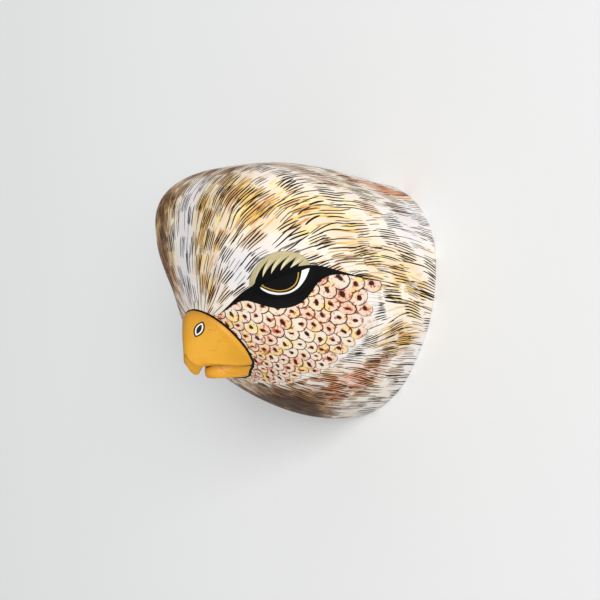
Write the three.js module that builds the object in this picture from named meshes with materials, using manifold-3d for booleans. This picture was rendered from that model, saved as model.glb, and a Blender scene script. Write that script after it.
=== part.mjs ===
// A carved and painted wooden owl mask, lying on its flat rim with its face up.
// Units are millimetres and degrees. +X is the bird's left, +Y is up to its crown
// and +Z is out of its face. The rim is at z = 0, and the origin is under the
// middle of the mask.
//
// The whole mask is one piece of wood: a hollow head of even wall thickness with
// the two halves of the beak carved on it.

import * as THREE from 'three'
import { mergeVertices } from 'three/addons/utils/BufferGeometryUtils.js'
import Module from 'manifold-3d'

// Driving dimensions

const WALL = 13                     // thickness of the carved wood
const HEAD_MIDDLE_Y = -2.7          // height of the middle of the rim

// The head is given from the middle of its rim. Each outline is a list of
// [angle above the horizontal, distance from the middle].
const FRONT_OUTLINE = [             // throat, beak root, brow and crown, seen from the side
  [-90, 112.5], [-76, 116], [-62, 122], [-48, 131.5], [-36, 143.5], [-26, 156.5],
  [-16, 169], [-6, 180], [4, 188.5], [14, 197.5], [24, 203.5], [34, 191.5],
  [46, 163], [60, 135], [75, 119], [90, 105.5],
]
const RIM_OUTLINE = [               // the rim, seen from the front
  [-90, 112.5], [-70, 108.5], [-50, 104], [-30, 100.5], [-10, 103],
  [10, 109.5], [30, 117.5], [50, 117], [70, 110.5], [90, 105.5],
]
const SQUARENESS = [                // 2 is an ellipse from rim to rim, more is boxier
  [-90, 2], [-60, 2], [-35, 2.1], [-15, 2.2], [0, 2.3],
  [14, 3.1], [28, 3.3], [42, 2.3], [60, 2.1], [75, 2], [90, 2],
]

// The eye, with angles seen from the middle of the rim
const EYE = {
  side: 27.3,                       // angle from the middle of the face to the eye
  up: 5.8,                          // angle above the middle of the rim
  halfLength: 8.8,
  halfHeight: 5.6,
  tilt: 26,                         // the outer corner is the higher one
  dome: 5,                          // height of the lid and eyeball above the socket
  socket: 5.5,                      // depth of the soft hollow round them
  socketSpread: 1.7,
}

// The beak, seen from the front: outlines round a middle point as
// [angle above the horizontal, distance]
const UPPER_BEAK_Y = -40
const UPPER_BEAK_OUTLINE = [
  [-90, 29.2], [-85, 27.1], [-78, 25.4], [-68, 24.1], [-59, 23.5], [-49, 26.5], [-42, 30.9],
  [-36, 35.9], [-30, 38.5], [-22, 38.2], [-10, 37.1], [4, 34.7], [20, 31.9], [36, 29.3],
  [54, 27.1], [75, 25.4], [90, 25.3],
]
const RIDGE = [                     // [height, distance in front of the rim] along the ridge
  [-70, 180.5], [-68.5, 183], [-64, 187.5], [-57.5, 190.2], [-50, 191.2],
  [-40, 191.5], [-27, 191], [-20, 189.5], [-14.5, 186],
]
const FLANK_SLOPE = [               // [height, how steeply the sides of the beak fall back]
  [-70, 1.75], [-60, 1.6], [-52, 1.27], [-45, 1.07], [-36, 0.9], [-28, 0.82], [-14, 0.74],
]
const RIDGE_ROUNDING = 8
const TIP_TOP = -50                 // the hooked tip is cut by two facets below this height
const TIP_FACET_SLOPE = [           // [height, how steeply the facets fall back]
  [-70, 0.6], [-64, 0.58], [-61.3, 0.53], [-58, 0.27], [-54.4, 0.03], [-50, 0],
]
const HOOK_THICKNESS = 4.2          // from the front of the tip to its back
const UPPER_EDGE_ROUNDING = 2.5

const LOWER_BEAK_Y = -65.8
const LOWER_BEAK_OUTLINE = [
  [-90, 6.7], [-60, 7.8], [-42, 9.6], [-25, 14.2], [-14, 19.4], [-6, 24.2], [2, 28.6],
  [7.5, 31.8], [11, 33], [16, 28.5], [24, 19], [32, 12], [38, 8.5], [48, 5], [90, 3],
]
const LOWER_BEAK_REACH = 168.6
const LOWER_FLANK_SLOPE = 1.2
const CHEEK_X = 19                  // the sides are flatter from here out to the corners
const CHEEK_SLOPE = 0.7
const UNDERCUT_SLOPE = 1.8          // the corners turn under below a slanting line
const UNDERCUT_FOOT = [11.5, -70.6] // the lower end of that line
const UNDERCUT_LEAN = 41            // its lean from upright, outwards
const LOWER_EDGE_ROUNDING = 2

// Fineness of the facets
const SPOKES = 84
const OUTER_RINGS = 28
const INNER_RINGS = 10
const UPPER_BEAK_SPOKES = 52
const LOWER_BEAK_SPOKES = 40

const radians = THREE.MathUtils.degToRad
const degrees = THREE.MathUtils.radToDeg
const clamp = THREE.MathUtils.clamp

// A smooth curve through [position, value] stations. The slope at a station is
// that of the line between its neighbours, and the ends are level.
function through(stations, position) {
  const x = clamp(position, stations[0][0], stations.at(-1)[0])
  let i = 0
  while (i < stations.length - 2 && x >= stations[i + 1][0]) i++
  const slope = (k) => {
    if (k === 0 || k === stations.length - 1) return 0
    return (stations[k + 1][1] - stations[k - 1][1]) / (stations[k + 1][0] - stations[k - 1][0])
  }
  const [x0, y0] = stations[i]
  const [x1, y1] = stations[i + 1]
  const h = x1 - x0
  const t = (x - x0) / h
  return (1 + 2 * t) * (1 - t) ** 2 * y0 + t * (1 - t) ** 2 * h * slope(i)
    + t * t * (3 - 2 * t) * y1 + t * t * (t - 1) * h * slope(i + 1)
}

// The head

const middle = new THREE.Vector3(0, HEAD_MIDDLE_Y, 0)

// Distance from the middle to the head's surface before the eyes are carved. At
// each height angle the head is a rounded box shape between the front outline
// and the rim outline.
function bareReach(direction) {
  const level = Math.hypot(direction.x, direction.z)
  const up = degrees(Math.atan2(direction.y, level))
  const front = through(FRONT_OUTLINE, up)
  const side = through(RIM_OUTLINE, up)
  const power = through(SQUARENESS, up)
  const forward = level < 1e-7 ? 1 : Math.abs(direction.z) / level
  const sideways = level < 1e-7 ? 0 : Math.abs(direction.x) / level
  return ((forward / front) ** power + (sideways / side) ** power) ** (-1 / power)
}

// The lid and eyeball are one low dome in a soft socket.
function eyeRelief(direction) {
  const level = Math.hypot(direction.x, direction.z)
  const across = degrees(Math.atan2(Math.abs(direction.x), Math.max(direction.z, 0))) - EYE.side
  const above = degrees(Math.atan2(direction.y, level)) - EYE.up
  const cos = Math.cos(radians(EYE.tilt))
  const sin = Math.sin(radians(EYE.tilt))
  const out = Math.hypot((across * cos + above * sin) / EYE.halfLength,
    (above * cos - across * sin) / EYE.halfHeight)
  const dome = EYE.dome * Math.max(1 - out * out, 0) ** 0.6
  return dome - EYE.socket * Math.exp(-((out / EYE.socketSpread) ** 2))
}

// The facets run in spokes from the root of the beak to the rim.
const beakRoot = new THREE.Vector3(0, -35, 178).sub(middle).normalize()

function headDirection(spoke, along) {
  const angle = 2 * Math.PI * spoke / SPOKES
  const edge = new THREE.Vector3(Math.sin(angle), Math.cos(angle), 0)
  const turn = Math.acos(clamp(edge.dot(beakRoot), -1, 1))
  return beakRoot.clone().multiplyScalar(Math.sin((1 - along) * turn) / Math.sin(turn))
    .addScaledVector(edge, Math.sin(along * turn) / Math.sin(turn))
}

function outerPoint(direction) {
  return direction.clone().multiplyScalar(bareReach(direction) + eyeRelief(direction)).add(middle)
}

// The hollow follows the bare head at the wall's thickness, measured square to
// the surface. A slanting ray crosses the wall at a slant.
function innerPoint(direction) {
  const nudge = 0.002
  const sideways = new THREE.Vector3(0.3, 0.9, 0.2).cross(direction).normalize()
  const upwards = direction.clone().cross(sideways)
  const surface = (step, amount) => {
    const near = direction.clone().addScaledVector(step, amount).normalize()
    return near.multiplyScalar(bareReach(near))
  }
  const a = surface(sideways, nudge).sub(surface(sideways, -nudge))
  const b = surface(upwards, nudge).sub(surface(upwards, -nudge))
  const square = Math.abs(a.cross(b).normalize().dot(direction))
  const reach = bareReach(direction) - WALL / Math.max(square, 0.6)
  return direction.clone().multiplyScalar(reach).add(middle)
}

// A closed surface from rings of equal length, with a point at each end
function closedSurface(firstPoint, rings, lastPoint) {
  const count = rings[0].length
  const points = [firstPoint, ...rings.flat(), lastPoint]
  const at = (ring, k) => 1 + ring * count + k % count
  const faces = []
  for (let k = 0; k < count; k++) faces.push(0, at(0, k + 1), at(0, k))
  for (let ring = 0; ring < rings.length - 1; ring++) {
    for (let k = 0; k < count; k++) {
      faces.push(at(ring, k), at(ring + 1, k + 1), at(ring + 1, k))
      faces.push(at(ring, k), at(ring, k + 1), at(ring + 1, k + 1))
    }
  }
  const last = rings.length - 1
  for (let k = 0; k < count; k++) faces.push(at(last, k), at(last, k + 1), points.length - 1)
  const geometry = new THREE.BufferGeometry().setFromPoints(points)
  geometry.setIndex(faces)
  return geometry
}

function headGeometry() {
  const ring = (along, point) =>
    Array.from({ length: SPOKES }, (_, spoke) => point(headDirection(spoke, along)))
  const rings = []
  for (let i = 1; i <= OUTER_RINGS; i++) rings.push(ring(i / OUTER_RINGS, outerPoint))
  for (let i = INNER_RINGS; i >= 1; i--) rings.push(ring(i / INNER_RINGS, innerPoint))
  return closedSurface(outerPoint(beakRoot), rings, innerPoint(beakRoot))
}

// The beak

const wedge = (x) => Math.hypot(x, RIDGE_ROUNDING) - RIDGE_ROUNDING

// Front of the upper beak: two sides that fall back from a rounded ridge, and a
// flatter facet on each side of the hooked tip
function upperFront(x, y) {
  const side = through(RIDGE, Math.max(y, TIP_TOP)) - through(FLANK_SLOPE, y) * wedge(x)
  const facet = through(RIDGE, y) - through(TIP_FACET_SLOPE, y) * Math.abs(x)
  return y < TIP_TOP ? Math.min(side, facet) : side
}

// Back of the upper beak: inside the wall of the head, and brought forward
// behind the hook so that the mouth is open
function upperBack(x, y) {
  const hook = clamp((-59.8 - y) / 1.6, 0, 1) * clamp((16 - Math.abs(x)) / 5, 0, 1)
  const root = 172 + (y + 15) * 0.62 - 0.2 * Math.abs(x)
  return root * (1 - hook) + (upperFront(x, y) - HOOK_THICKNESS) * hook
}

// Front of the lower beak: two sides that flatten towards the corners of the
// mouth and turn under towards the throat
function lowerFront(x, y) {
  const out = Math.abs(x)
  const side = LOWER_BEAK_REACH + 0.12 * (-62 - y) - LOWER_FLANK_SLOPE * wedge(Math.min(out, CHEEK_X))
    - CHEEK_SLOPE * Math.max(out - CHEEK_X, 0) - 0.05 * clamp(-65 - y, 0, 9) ** 2
  const beyond = (out - UNDERCUT_FOOT[0]) * Math.cos(radians(UNDERCUT_LEAN))
    - (y - UNDERCUT_FOOT[1]) * Math.sin(radians(UNDERCUT_LEAN))
  return side - UNDERCUT_SLOPE * Math.max(beyond, 0) * clamp((-61.5 - y) / 7.5, 0, 1)
}

const lowerBack = (x, y) => 137 + 0.3 * (y + 66)

// A solid between a back and a front surface inside an outline, with its front
// edge rounded
function beakHalf(middleY, outline, front, back, rounding, spokes, shares) {
  const directions = Array.from({ length: spokes }, (_, i) => {
    const angle = 2 * Math.PI * i / spokes - Math.PI / 2
    const [x, y] = [Math.cos(angle), Math.sin(angle)]
    return { x, y, reach: through(outline, degrees(Math.atan2(y, Math.abs(x)))) }
  })
  const backRing = directions.map(({ x, y, reach }) => {
    const [px, py] = [x * reach, middleY + y * reach]
    return new THREE.Vector3(px, py, back(px, py))
  })
  const frontRings = shares.map((share) => directions.map(({ x, y, reach }) => {
    const [px, py] = [x * reach * share, middleY + y * reach * share]
    const edge = clamp(1 - reach * (1 - share) / rounding, 0, 1)
    return new THREE.Vector3(px, py, front(px, py) - rounding * (1 - Math.sqrt(1 - edge * edge)))
  }))
  return closedSurface(new THREE.Vector3(0, middleY, back(0, middleY)), [backRing, ...frontRings],
    new THREE.Vector3(0, middleY, front(0, middleY)))
}

// One solid out of the three forms

const wasm = await Module()
wasm.setup()

function toSolid(geometry) {
  const merged = mergeVertices(geometry)
  return new wasm.Manifold(new wasm.Mesh({
    numProp: 3,
    vertProperties: new Float32Array(merged.attributes.position.array),
    triVerts: new Uint32Array(merged.index.array),
  }))
}

function toGeometry(solid) {
  const mesh = solid.getMesh()
  const geometry = new THREE.BufferGeometry()
  geometry.setAttribute('position', new THREE.BufferAttribute(new Float32Array(mesh.vertProperties), 3))
  geometry.setIndex(new THREE.BufferAttribute(new Uint32Array(mesh.triVerts), 1))
  geometry.computeVertexNormals()
  return geometry
}

const upperBeak = beakHalf(UPPER_BEAK_Y, UPPER_BEAK_OUTLINE, upperFront, upperBack,
  UPPER_EDGE_ROUNDING, UPPER_BEAK_SPOKES, [1, 0.97, 0.91, 0.8, 0.65, 0.48, 0.3, 0.14])
const lowerBeak = beakHalf(LOWER_BEAK_Y, LOWER_BEAK_OUTLINE, lowerFront, lowerBack,
  LOWER_EDGE_ROUNDING, LOWER_BEAK_SPOKES, [1, 0.94, 0.82, 0.62, 0.38, 0.18])

const carved = toSolid(headGeometry()).add(toSolid(upperBeak)).add(toSolid(lowerBeak))

const paintedWood = new THREE.MeshStandardMaterial({ color: 0xd9c9a6, roughness: 0.55, metalness: 0 })
const mask = new THREE.Mesh(toGeometry(carved), paintedWood)
mask.name = 'owl_mask'

const model = new THREE.Group()
model.add(mask)

export default model
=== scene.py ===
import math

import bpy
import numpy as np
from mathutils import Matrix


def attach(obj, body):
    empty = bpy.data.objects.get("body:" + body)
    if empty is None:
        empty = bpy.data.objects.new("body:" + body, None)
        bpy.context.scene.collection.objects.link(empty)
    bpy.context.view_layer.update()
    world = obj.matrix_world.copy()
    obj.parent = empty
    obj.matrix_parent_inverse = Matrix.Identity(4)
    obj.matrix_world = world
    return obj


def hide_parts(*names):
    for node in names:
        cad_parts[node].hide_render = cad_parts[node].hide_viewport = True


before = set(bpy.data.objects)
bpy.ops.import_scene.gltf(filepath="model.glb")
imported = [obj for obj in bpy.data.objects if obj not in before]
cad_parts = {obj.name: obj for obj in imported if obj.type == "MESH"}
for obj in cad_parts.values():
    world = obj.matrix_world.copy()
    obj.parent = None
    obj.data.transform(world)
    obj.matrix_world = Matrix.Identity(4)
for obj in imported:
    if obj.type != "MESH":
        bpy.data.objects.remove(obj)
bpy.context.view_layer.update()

# A carved and painted wooden owl mask, lying face up on its flat rim.
# Sizes are millimetres and degrees. +X is the bird's left, +Y is up to its crown
# and +Z is out of its face. The same driving sizes shape the solid that this
# piece stands for.

MM = 0.001

# The head

WALL = 13.0
HEAD_MIDDLE_Y = -2.7
FRONT_OUTLINE = [
    (-90, 112.5), (-76, 116), (-62, 122), (-48, 131.5), (-36, 143.5), (-26, 156.5),
    (-16, 169), (-6, 180), (4, 188.5), (14, 197.5), (24, 203.5), (34, 191.5),
    (46, 163), (60, 135), (75, 119), (90, 105.5)]
RIM_OUTLINE = [
    (-90, 112.5), (-70, 108.5), (-50, 104), (-30, 100.5), (-10, 103),
    (10, 109.5), (30, 117.5), (50, 117), (70, 110.5), (90, 105.5)]
SQUARENESS = [
    (-90, 2), (-60, 2), (-35, 2.1), (-15, 2.2), (0, 2.3),
    (14, 3.1), (28, 3.3), (42, 2.3), (60, 2.1), (75, 2), (90, 2)]

EYE_SIDE = 27.3
EYE_UP = 5.8
EYE_HALF_LENGTH = 8.8
EYE_HALF_HEIGHT = 5.6
EYE_TILT = 26
EYE_DOME = 5.0
EYE_SOCKET = 5.5
EYE_SOCKET_SPREAD = 1.7

RIM_ROUNDING = 1.4
SPOKE_LENGTH = 230.0                # from behind the beak over the hollow to the rim
GOUGE_LANES = 64                    # lanes of cuts round the hollow
GOUGE_LENGTH = 26.0
GOUGE_DEPTH = 0.9
GOUGE_ROUNDNESS = 0.8               # how hollow a lane is, as a share of that depth
GOUGE_STEP = 0.5                    # the step from cut to cut, as a share of it
GOUGE_FADE_START = 0.25             # shares of a spoke over which the cuts fade out
GOUGE_FADE_END = 0.06

# The beak

BEAK_ROOT_PLACE = (0.0, -35.0, 178.0)   # the spokes, strokes and scales run out from here
UPPER_BEAK_Y = -40.0
UPPER_BEAK_OUTLINE = [
    (-90, 29.2), (-85, 27.1), (-78, 25.4), (-68, 24.1), (-59, 23.5), (-49, 26.5), (-42, 30.9),
    (-36, 35.9), (-30, 38.5), (-22, 38.2), (-10, 37.1), (4, 34.7), (20, 31.9), (36, 29.3),
    (54, 27.1), (75, 25.4), (90, 25.3)]
RIDGE = [
    (-70, 180.5), (-68.5, 183), (-64, 187.5), (-57.5, 190.2), (-50, 191.2),
    (-40, 191.5), (-27, 191), (-20, 189.5), (-14.5, 186)]
FLANK_SLOPE = [
    (-70, 1.75), (-60, 1.6), (-52, 1.27), (-45, 1.07), (-36, 0.9), (-28, 0.82), (-14, 0.74)]
RIDGE_ROUNDING = 8.0
TIP_TOP = -50.0
TIP_FACET_SLOPE = [(-70, 0.6), (-64, 0.58), (-61.3, 0.53), (-58, 0.27), (-54.4, 0.03), (-50, 0)]
HOOK_THICKNESS = 4.2                # from the front of the tip to its back
HOOK_TOP = -59.8                    # the hook stands free from here down
HOOK_TOP_STEP = 1.6
HOOK_HALF_WIDTH = 16.0              # and within this distance from the middle
HOOK_SIDE_STEP = 5.0
UPPER_BACK_REACH = 172.0            # its back inside the head, at UPPER_BACK_Y
UPPER_BACK_Y = -15.0
UPPER_BACK_LEAN = 0.62
UPPER_BACK_SPLAY = 0.2
UPPER_EDGE_ROUNDING = 2.5

LOWER_BEAK_Y = -65.8
LOWER_BEAK_OUTLINE = [
    (-90, 6.7), (-60, 7.8), (-42, 9.6), (-25, 14.2), (-14, 19.4), (-6, 24.2), (2, 28.6),
    (7.5, 31.8), (11, 33), (16, 28.5), (24, 19), (32, 12), (38, 8.5), (48, 5), (90, 3)]
LOWER_BEAK_REACH = 168.6            # on the middle line, at LOWER_BEAK_TOP
LOWER_BEAK_TOP = -62.0
LOWER_BEAK_LEAN = 0.12
LOWER_FLANK_SLOPE = 1.2
CHIN_TOP = -65.0                    # the middle line bends back below here
CHIN_HEIGHT = 9.0
CHIN_BEND = 0.05
CHEEK_X = 19.0                      # the sides are flatter from here out to the corners
CHEEK_SLOPE = 0.7
UNDERCUT_SLOPE = 1.8                # the corners turn under below a slanting line
UNDERCUT_FOOT = (11.5, -70.6)       # the lower end of that line
UNDERCUT_LEAN = 41.0                # its lean from upright, outwards
UNDERCUT_TOP = -61.5                # it sets in from here down
UNDERCUT_TOP_STEP = 7.5
LOWER_EDGE_ROUNDING = 2.0
LOWER_BACK_REACH = 137.0            # its back inside the head, at LOWER_BACK_Y
LOWER_BACK_Y = -66.0
LOWER_BACK_LEAN = 0.3

# Fineness of the meshes
SPOKES = 352
OUTER_RINGS = 150
INNER_RINGS = 84
ROUNDING_RINGS = 3
BEAK_SPOKES = 132
BEAK_RINGS = 22
BEAK_RING_CROWDING = 1.8            # above 1, the rings crowd towards the edge
FINER_AROUND = (62.0, 20.0, 1.1)    # spokes crowd round the eyes: place, half width, strength
FINER_ALONG = (0.32, 0.15, 1.0)     # rings crowd there too, by shares of the spoke
LEAST_SQUARENESS = 0.6              # keeps the wall from growing too thick on steep places
CREASE_ANGLE = 38.0                 # edges sharper than this are shaded crisp

# Painted marks round the eye, on a sheet laid over the eye: millimetres
# outwards and upwards from its middle, at SHEET millimetres for each degree
SHEET = 3.2
SHEET_SIDE = 27.0
SHEET_UP = 5.6
BAND_TOP = [
    (-60.8, -33.5), (-50.4, -27.6), (-42, -20.8), (-34.1, -14.4), (-27, -10), (-22.2, -7.6),
    (-19.3, -3.8), (-13.4, -2.3), (-7.5, 0.2), (0.2, 3.9), (6.7, 6.2), (13.1, 8.4), (19.5, 10),
    (25.9, 11.6), (34.9, 11.7), (51, 8.9), (76, 4.5), (98.3, 2.1), (119.1, -0.4), (134.8, -4.3)]
BAND_BOTTOM = [
    (-60.8, -33.5), (-47.3, -27.7), (-39.6, -23.3), (-32.8, -21.8), (-26.6, -23.4),
    (-19.5, -26.2), (-12.3, -28.5), (-6.7, -29.5), (0.1, -29.2), (7.2, -27.5), (13.6, -24.1),
    (19.2, -19), (23.9, -13.2), (28.8, -6.2), (33.9, -1.1), (41.8, 3.2), (50.9, 5),
    (62.9, 4.7), (76, 3.2), (90.5, 1.6), (106.7, 0.4), (134.8, -4.4)]
LID_TOP = [
    (-27.4, -10), (-26.7, -7), (-25.2, -3.4), (-21.8, 1.6), (-18.1, 5.8), (-13.7, 10.2), (-8.7, 14.4),
    (-3.3, 17.9), (2.7, 20), (10.4, 20.7), (15.5, 20.1), (19.9, 18.1), (23.3, 15.2), (25.9, 11.6)]
LASH_LINE = [(-22, -10.4), (-18.5, -9), (-12.5, -6.3), (-6.6, -3.9), (3, -0.2), (12.4, 3.1),
             (16.8, 5.1), (25.8, 9.6)]
WHITE_BELOW = [
    (-18.7, -9), (-17.5, -11.4), (-12.8, -14.8), (-7.7, -16.3), (-3.1, -16.5), (2.7, -15.5),
    (7.7, -13.5), (13.1, -9.7), (17.6, -4.8), (20.6, -0.5), (23, 4.2), (25.7, 9.4)]
WHITE_ABOVE = [
    (-18.7, -9), (-17, -9.9), (-12.3, -12.7), (-7.2, -14.2), (-2.7, -14.7), (3, -13.8),
    (8.1, -11.4), (12.5, -7.6), (15.2, -2.9), (17.3, 2.2), (18.2, 5.8)]
IRIS_BELOW = [
    (-17, -8.6), (-13.5, -10.4), (-8.6, -12.4), (-3.3, -13.3), (2.4, -12.5), (7.4, -10.1),
    (11.9, -6.1), (14.6, -0.9), (16.4, 4.9)]
IRIS_ABOVE = [(-17, -8.6), (-9, 3), (3, 8), (16.4, 4.9)]
EYE_PAINT = ((-73, -50), (147, 50))     # all marks lie between these corners of the sheet
EYE_PAINT_Z = 20.0                      # and above this height over the rim
FAR_OUTSIDE = -30.0                     # stands for anywhere well outside a mark

# Each lash as its foot on the lash line and its tip
LASHES = [((-17.5, -4.6), (-7.8, 10.9)), ((-10.6, -2.2), (-1.3, 11.9)), ((-3.0, 1.5), (8.8, 16.3)),
          ((5.0, 4.4), (14.0, 15.7)), ((12.0, 7.2), (19.2, 13.3))]
LASH_SPACING = 7.0
LASH_BOW = 0.5                      # how far a lash bends, as a share of its lean
LASH_WIDTH = 7.0                    # near its foot
PETAL_WIDTH = 4.4                   # the pale strokes between the lashes, near their feet
PETAL_PLACE = 0.42                  # where they stand, between one lash and the next

# The nostrils
NOSTRIL_X = 12.4
NOSTRIL_Y = -30.2
NOSTRIL_TILT = 22.6
NOSTRIL_HALF_LENGTH = 7.2
NOSTRIL_HALF_WIDTH = 3.8

# The painted scales fan out from a point on a flat map of the face round the beak's root
SCALE_ORIGIN = (-100.0, -60.0)
SCALE_SIZE = 0.061                  # width of a scale, as a share of its distance from there
SCALE_ROW = 0.8                     # step from row to row, in widths
SCALE_NARROWING = 0.8               # width of the fan against a true one
SCALE_LEAN = -24.0                  # turn of the rows from the rays
SCALE_RADIUS = 0.56                 # in widths, as are the next three
SCALE_UNEVENNESS = 0.14             # how far a scale or its dot strays
DOT_RADIUS = 0.13
DOT_DROP = 0.05                     # how far the dot lies below the scale's middle
SCALE_ENDS = [                      # the last rows lie under these lines: column, row, slope
    (74.4, 42.2, 1.06), (74.4, 42.2, 0.42), (81.0, 44.2, 0.0), (84.0, 43.5, -0.54),
    (85.7, 42.2, -1.3), (87.0, 39.9, -3.0)]
SCALE_WARP = (0.55, 0.6)            # how far columns and rows wander
SCALE_SEED = 9.0

# The painted strokes
GIRTH = 700.0                       # way round the head where it is widest
GIRTH_REACH = 155.0                 # distance from the beak's root where it is reached
STROKE_SWEEP = 0.0010               # how far the strokes swing down, between eye and throat
STROKE_WANDER = 14.0                # how far patches of strokes stray outwards and inwards
STROKE_WANDER_TURNS = 0.02          # and round the beak
BEAK_LINE_REACH = 12.0              # distances to the beak's lines are cut off here
FACE_ROUGHNESS = 0.55               # of the matt paint
GLOSS = 0.1                         # how much smoother the black band and the iris are

# Where each colour lies on the head, in soft round patches: degrees to the side and up,
# how far the patch spreads each way, and its strength on the bird's left and right
GOLD_PATCHES = [
    (7, 12, 3.5, 14, 1.1, 0.44), (16, 21, 8, 6, 1.2, 1.2), (35, 23, 15, 7, 0.9, 0.9),
    (58, 10, 19, 13, 0.7, 0.7), (76, 4, 10, 13, 0.45, 0.45), (72, -20, 13, 9, 0.9, 0.9),
    (50, 40, 40, 12, 0.25, 0.25)]
# Part of the brown is painted shade. The strong patch under the throat at (8, -51) is brown paint deepened
# with painted shade. The patch at (13, 10), on the bird's right only, is painted shade on the side turned
# from the lamp.
BROWN_AND_SHADE_PATCHES = [
    (10, 12, 3.5, 14, 0.7, 0.7), (14, 24, 7, 5, 0.8, 0.8), (6, 33, 10, 4, 1.0, 1.0),
    (26, 42, 13, 4.5, 0.9, 0.9), (48, 12, 14, 5, 0.3, 0.3), (46, -42, 24, 11, 1.0, 1.0),
    (8, -51, 21, 19, 2.6, 2.6), (69, -22, 13, 9, 0.85, 0.85), (13, 10, 5.5, 20, 0, 1.3)]
GREY_PATCHES = [
    (0, 14, 4, 16, 1.0, 1.0), (78, 32, 14, 16, 1.0, 1.0), (18, 6, 9, 7, 0.9, 0.18),
    (88, -40, 9, 25, 0.8, 0.8)]
# The rust at (13, 10), on the bird's right only, is painted shade on the side turned from the lamp.
RUST_AND_SHADE_PATCHES = [
    (46, -36, 20, 7, 1.1, 1.1), (68, 51.5, 26, 4.5, 1.8, 1.8), (45, -48, 20, 8, 0.5, 0.5),
    (24, 43, 16, 5, 0.6, 0.6), (13, 10, 5.5, 20, 0, 0.5)]
STRONGEST = 2.4                     # patches that overlap add up to this at most

# Where the strokes lean from their line, in patches given the same way
SWING_PATCHES = [
    (70, 18, 25, 22, 0.3, 0.3), (90, 5, 12, 30, 0.3, 0.3), (62, -16, 16, 10, -0.35, -0.35),
    (58, -42, 24, 10, 0.3, 0.3)]

# The camera looks at the lying mask from the bird's left
CAMERA_TARGET = (0.0, -5.7, 65.0)
CAMERA_TURN = 50.0
CAMERA_DISTANCE = 1131.0
SENSOR = 36.0
LENS = 74.94

# One soft lamp a little above the camera, and the floor, in metres and watts
LAMP_DIRECTION = (0.76, 0.2, 0.6)
LAMP_DISTANCE = 6.0
LAMP_SIZE = 3.7
LAMP_POWER = 330.0
SURROUND_COLOUR = (0.96, 0.98, 1.0, 1)
SURROUND_STRENGTH = 0.47
FLOOR_HALF_SIZE = 6.0
FLOOR_COLOUR = (0.86, 0.86, 0.85, 1)


def through(stations, position):
    """Smooth curve through (position, value) stations: cubic pieces whose slope at a
    station is that of the line between its neighbours, level at both ends."""
    x, y = np.array(stations, float).T
    slope = np.zeros_like(y)
    slope[1:-1] = (y[2:] - y[:-2]) / (x[2:] - x[:-2])
    p = np.clip(position, x[0], x[-1])
    i = np.clip(np.searchsorted(x, p, side="right") - 1, 0, len(x) - 2)
    h = x[i + 1] - x[i]
    t = (p - x[i]) / h
    return ((1 + 2 * t) * (1 - t) ** 2 * y[i] + t * (1 - t) ** 2 * h * slope[i]
            + t * t * (3 - 2 * t) * y[i + 1] + t * t * (t - 1) * h * slope[i + 1])


def unit(v):
    """The vectors at length one."""
    return v / np.linalg.norm(v, axis=-1, keepdims=True)


MIDDLE = np.array([0.0, HEAD_MIDDLE_Y, 0.0])
BEAK_ROOT = unit(np.array(BEAK_ROOT_PLACE) - MIDDLE)


def head_angles(direction):
    """Degrees to the side and up of a direction from the middle of the rim, and how
    long its level part is."""
    level = np.hypot(direction[..., 0], direction[..., 2])
    side = np.degrees(np.arctan2(np.abs(direction[..., 0]), np.maximum(direction[..., 2], 0)))
    return side, np.degrees(np.arctan2(direction[..., 1], level)), level


def bare_reach(direction):
    """Distance from the middle to the head before the eyes are carved: at each height
    angle a rounded box shape, (forward/front)^n + (sideways/side)^n = 1."""
    _, up, level = head_angles(direction)
    front = through(FRONT_OUTLINE, up)
    side = through(RIM_OUTLINE, up)
    power = through(SQUARENESS, up)
    safe = np.maximum(level, 1e-9)
    forward = np.where(level < 1e-7, 1.0, np.abs(direction[..., 2]) / safe)
    sideways = np.where(level < 1e-7, 0.0, np.abs(direction[..., 0]) / safe)
    return ((forward / front) ** power + (sideways / side) ** power) ** (-1 / power)


def eye_relief(direction):
    """The lid and eyeball are one low dome, (1 - e^2)^0.6 inside an ellipse e = 1, in a
    soft bell-shaped socket."""
    side, up, _ = head_angles(direction)
    across, above = side - EYE_SIDE, up - EYE_UP
    cos, sin = math.cos(math.radians(EYE_TILT)), math.sin(math.radians(EYE_TILT))
    e = np.hypot((across * cos + above * sin) / EYE_HALF_LENGTH,
                 (above * cos - across * sin) / EYE_HALF_HEIGHT)
    dome = EYE_DOME * np.maximum(1 - e * e, 0) ** 0.6
    return dome - EYE_SOCKET * np.exp(-(e / EYE_SOCKET_SPREAD) ** 2)


def spoke_end(around):
    """Direction in which a spoke meets the rim, and the angle from the beak's root to
    there. The angle round starts at the crown and turns to the bird's left."""
    edge = np.stack([np.sin(around), np.cos(around), 0 * around], -1)
    return edge, np.arccos(edge @ BEAK_ROOT)


def spoke_direction(around, along):
    """Direction at a share along the great circle from the beak's root to the rim."""
    edge, turn = spoke_end(around)
    return ((np.sin((1 - along) * turn) / np.sin(turn))[..., None] * BEAK_ROOT
            + (np.sin(along * turn) / np.sin(turn))[..., None] * edge)


def outer_surface(around, along):
    """The face: the bare head with the eyes carved in it."""
    direction = spoke_direction(around, along)
    return MIDDLE + direction * (bare_reach(direction) + eye_relief(direction))[..., None]


def squareness_to_ray(direction):
    """Cosine between a ray from the middle and the head's surface normal, from two
    small turns of the ray."""
    nudge = 0.002
    sideways = unit(np.cross(np.array([0.3, 0.9, 0.2]), direction))
    upwards = np.cross(direction, sideways)

    def surface(step):
        """The head where the ray meets it after a small turn."""
        near = unit(direction + step)
        return near * bare_reach(near)[..., None]

    a = surface(sideways * nudge) - surface(-sideways * nudge)
    b = surface(upwards * nudge) - surface(-upwards * nudge)
    return np.abs((unit(np.cross(a, b)) * direction).sum(-1))


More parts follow.
